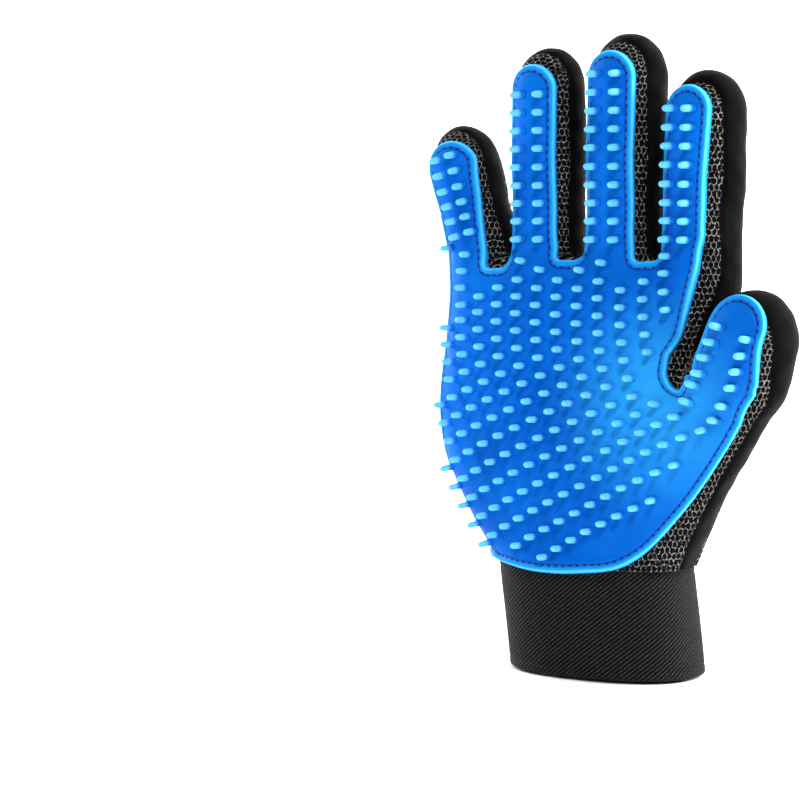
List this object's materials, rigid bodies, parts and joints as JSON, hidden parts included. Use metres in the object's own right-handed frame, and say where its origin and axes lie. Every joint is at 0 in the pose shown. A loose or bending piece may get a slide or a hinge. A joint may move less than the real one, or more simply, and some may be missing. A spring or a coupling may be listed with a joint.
{
  "type": "pet grooming glove",
  "caption": "Right-hand pet grooming glove: mesh and stretch fabric glove with a moulded rubber palm pad covered in soft nubs, and a ribbed wrist cuff with a hook-and-loop strap.",
  "frame": {"origin": "centre of the wrist opening at the cuff's lower rim", "axes": "+Z from the wrist to the fingertips, -Y out of the palm, +X towards the thumb"},
  "size_m": [0.16, 0.0618, 0.24],
  "materials": {
    "rubber_pad": "satin moulded rubber",
    "mesh_fabric": "open honeycomb mesh",
    "stretch_gusset": "smooth stretch fabric",
    "cuff_twill": "diagonal ribbed elastic",
    "strap_webbing": "woven webbing",
    "hook_tape": "hook tape",
    "loop_tape": "loop pile"
  },
  "bodies": {
    "hand": {"cuff_band": "cuff_twill", "loop_patch": "loop_tape", "strap_anchor": "strap_webbing", "palm_mesh_panel": "mesh_fabric", "back_mesh_panel": "mesh_fabric", "little_side_gusset": "stretch_gusset", "little_ring_web": "stretch_gusset", "ring_middle_web": "stretch_gusset", "middle_index_web": "stretch_gusset", "thumb_gusset": "stretch_gusset", "palm_pad": "rubber_pad"},
    "strap": {"closure_strap": "strap_webbing", "hook_tape": "hook_tape"},
    "little_base": {"little_base_pad": "rubber_pad", "little_base_palm_mesh": "mesh_fabric", "little_base_back_mesh": "mesh_fabric", "little_base_gusset_left": "stretch_gusset", "little_base_gusset_right": "stretch_gusset"},
    "little_tip": {"little_tip_pad": "rubber_pad", "little_tip_palm_mesh": "mesh_fabric", "little_tip_back_mesh": "mesh_fabric", "little_tip_gusset": "stretch_gusset"},
    "ring_base": {"ring_base_pad": "rubber_pad", "ring_base_palm_mesh": "mesh_fabric", "ring_base_back_mesh": "mesh_fabric", "ring_base_gusset_left": "stretch_gusset", "ring_base_gusset_right": "stretch_gusset"},
    "ring_tip": {"ring_tip_pad": "rubber_pad", "ring_tip_palm_mesh": "mesh_fabric", "ring_tip_back_mesh": "mesh_fabric", "ring_tip_gusset": "stretch_gusset"},
    "middle_base": {"middle_base_pad": "rubber_pad", "middle_base_palm_mesh": "mesh_fabric", "middle_base_back_mesh": "mesh_fabric", "middle_base_gusset_left": "stretch_gusset", "middle_base_gusset_right": "stretch_gusset"},
    "middle_tip": {"middle_tip_pad": "rubber_pad", "middle_tip_palm_mesh": "mesh_fabric", "middle_tip_back_mesh": "mesh_fabric", "middle_tip_gusset": "stretch_gusset"},
    "index_base": {"index_base_pad": "rubber_pad", "index_base_palm_mesh": "mesh_fabric", "index_base_back_mesh": "mesh_fabric", "index_base_gusset_left": "stretch_gusset", "index_base_gusset_right": "stretch_gusset"},
    "index_tip": {"index_tip_pad": "rubber_pad", "index_tip_palm_mesh": "mesh_fabric", "index_tip_back_mesh": "mesh_fabric", "index_tip_gusset": "stretch_gusset"},
    "thumb_tip": {"thumb_tip_pad": "rubber_pad", "thumb_tip_palm_mesh": "mesh_fabric", "thumb_tip_back_mesh": "mesh_fabric", "thumb_tip_gusset": "stretch_gusset"}
  },
  "joints": [
    {"name": "little_knuckle_fold", "type": "hinge", "parent": "hand", "child": "little_base", "pos_m": [-0.0564, -0.0165, 0.168], "axis": [0.9561, 0, 0.293], "range_deg": [0, 50]},
    {"name": "little_middle_fold", "type": "hinge", "parent": "little_base", "child": "little_tip", "pos_m": [-0.06176, -0.0165, 0.1855], "axis": [0.9561, 0, 0.293], "range_deg": [0, 55]},
    {"name": "ring_knuckle_fold", "type": "hinge", "parent": "hand", "child": "ring_base", "pos_m": [-0.025, -0.0165, 0.16], "axis": [1, 0, 0.0079], "range_deg": [0, 60]},
    {"name": "ring_middle_fold", "type": "hinge", "parent": "ring_base", "child": "ring_tip", "pos_m": [-0.02527, -0.0165, 0.194], "axis": [1, 0, 0.0079], "range_deg": [0, 60]},
    {"name": "middle_knuckle_fold", "type": "hinge", "parent": "hand", "child": "middle_base", "pos_m": [0.0086, -0.0175, 0.16], "axis": [1, 0, -0.0037], "range_deg": [0, 60]},
    {"name": "middle_middle_fold", "type": "hinge", "parent": "middle_base", "child": "middle_tip", "pos_m": [0.00873, -0.0175, 0.194], "axis": [1, 0, -0.0037], "range_deg": [0, 60]},
    {"name": "index_knuckle_fold", "type": "hinge", "parent": "hand", "child": "index_base", "pos_m": [0.0406, -0.0175, 0.16], "axis": [0.9996, 0, -0.0275], "range_deg": [0, 60]},
    {"name": "index_middle_fold", "type": "hinge", "parent": "index_base", "child": "index_tip", "pos_m": [0.04135, -0.0175, 0.18719], "axis": [0.9996, 0, -0.0275], "range_deg": [0, 60]},
    {"name": "thumb_fold", "type": "hinge", "parent": "hand", "child": "thumb_tip", "pos_m": [0.05922, -0.02703, 0.11047], "axis": [0.9347, 0, -0.3555], "range_deg": [0, 50]},
    {"name": "strap_peel", "type": "hinge", "parent": "hand", "child": "strap", "pos_m": [0.024, 0.0232, 0.021], "axis": [0, 0, -1], "range_deg": [0, 110]}
  ]
}
